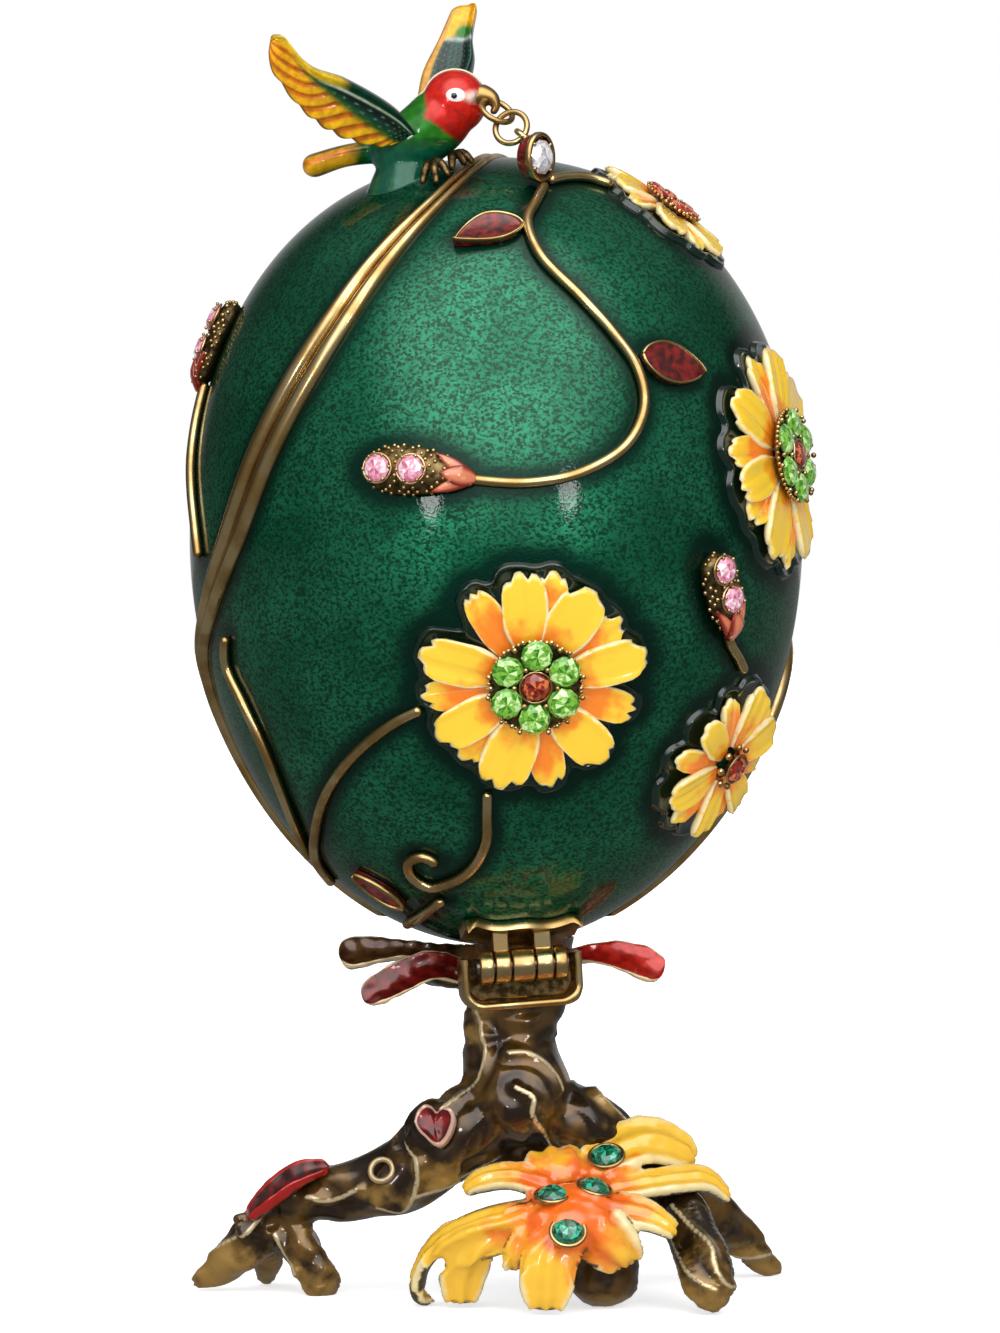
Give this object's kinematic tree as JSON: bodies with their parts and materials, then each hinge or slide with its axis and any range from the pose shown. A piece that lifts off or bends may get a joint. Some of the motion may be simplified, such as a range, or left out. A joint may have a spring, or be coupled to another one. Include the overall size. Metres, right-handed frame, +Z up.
{
  "type": "egg trinket box on stand",
  "caption": "Enamelled egg-shaped trinket box that hinges open at its foot, with a bird, flowers and vines, on a tree-root stand.",
  "frame": {"origin": "on the floor, under the middle of the object's box", "axes": "+Z up along the egg's axis, -Y towards the viewer of the picture, +X to the picture's right"},
  "size_m": [0.0718, 0.0715, 0.1466],
  "materials": {
    "tree_enamel": "translucent brown enamel over cast metal, glossy",
    "red_enamel": "translucent dark red enamel over cast metal, glossy",
    "yellow_enamel": "yellow and orange enamel over cast metal, glossy",
    "green_enamel": "translucent green enamel over cast metal, glossy",
    "bird_enamel": "green enamel over cast metal, glossy",
    "gold": "antique gold plate, satin",
    "steel": "plain",
    "peridot": "cut glass stones in a beaded setting",
    "topaz": "cut glass stone",
    "rose": "cut glass stone",
    "emerald": "cut glass stone",
    "crystal": "cut glass stone"
  },
  "bodies": {
    "base": {"tree_stand": "tree_enamel", "crown_leaf_brown": "tree_enamel", "foot_post": "tree_enamel", "crown_leaf_dark_red": "red_enamel", "crown_leaf_red": "red_enamel", "root_leaf_knee": "red_enamel", "root_leaf_long": "red_enamel", "rear_leaf_upper": "red_enamel", "rear_leaf_lower": "red_enamel", "foot_flower": "yellow_enamel", "rear_shell": "green_enamel", "bird_body": "bird_enamel", "wing_near": "bird_enamel", "wing_far": "bird_enamel", "hinge_lower_leaf": "gold", "rear_rim": "gold", "bud_stem_left": "gold", "beak": "gold", "foot_near": "gold", "foot_far": "gold", "hinge_pin": "steel", "bud_stem_left_stone_1": "rose", "bud_stem_left_stone_2": "rose", "emerald_1": "emerald", "emerald_2": "emerald", "emerald_3": "emerald", "emerald_4": "emerald"},
    "door": {"front_shell": "green_enamel", "front_rim": "gold", "hinge_upper_leaf": "gold", "vine_leaf_spray": "gold", "vine_leaf_spray_stone_1": "rose", "vine_leaf_spray_stone_2": "rose", "vine_to_top_flower": "gold", "vine_daisy_left": "gold", "vine_daisy_low": "gold", "vine_branch": "gold", "vine_by_seam": "gold", "bud_stem_right": "gold", "bud_stem_right_stone_1": "rose", "bud_stem_right_stone_2": "rose", "leaf_top": "red_enamel", "leaf_right": "red_enamel", "leaf_low": "red_enamel", "daisy": "yellow_enamel", "daisy_stone_ring": "peridot", "daisy_centre_stone": "topaz", "side_flower": "yellow_enamel", "side_flower_stone_ring": "peridot", "side_flower_centre_stone": "topaz", "low_flower": "yellow_enamel", "low_flower_centre_stone": "topaz", "top_flower": "yellow_enamel", "top_flower_stone_ring": "topaz", "pendant_cup": "gold", "pendant_crystal": "crystal"},
    "clasp_ring_lower": {"chain_ring_lower": "gold"},
    "clasp_ring_upper": {"chain_ring_upper": "gold"}
  },
  "joints": [
    {"name": "door_hinge", "type": "hinge", "parent": "base", "child": "door", "pos_m": [0.0026, -0.011, 0.0386], "axis": [0.983, 0.1733, 0.061], "range_deg": [0, 75]},
    {"name": "lower_ring_on_drop", "type": "hinge", "parent": "door", "child": "clasp_ring_lower", "pos_m": [0.00215, -0.01294, 0.13132], "axis": [-0.41, -0.895, 0.176], "range_deg": [-3, 5]},
    {"name": "upper_ring_on_lower", "type": "hinge", "parent": "clasp_ring_lower", "child": "clasp_ring_upper", "pos_m": [0.00032, -0.01168, 0.13306], "axis": [-0.7414, 0.049, -0.6693], "range_deg": [-10, 35]}
  ]
}
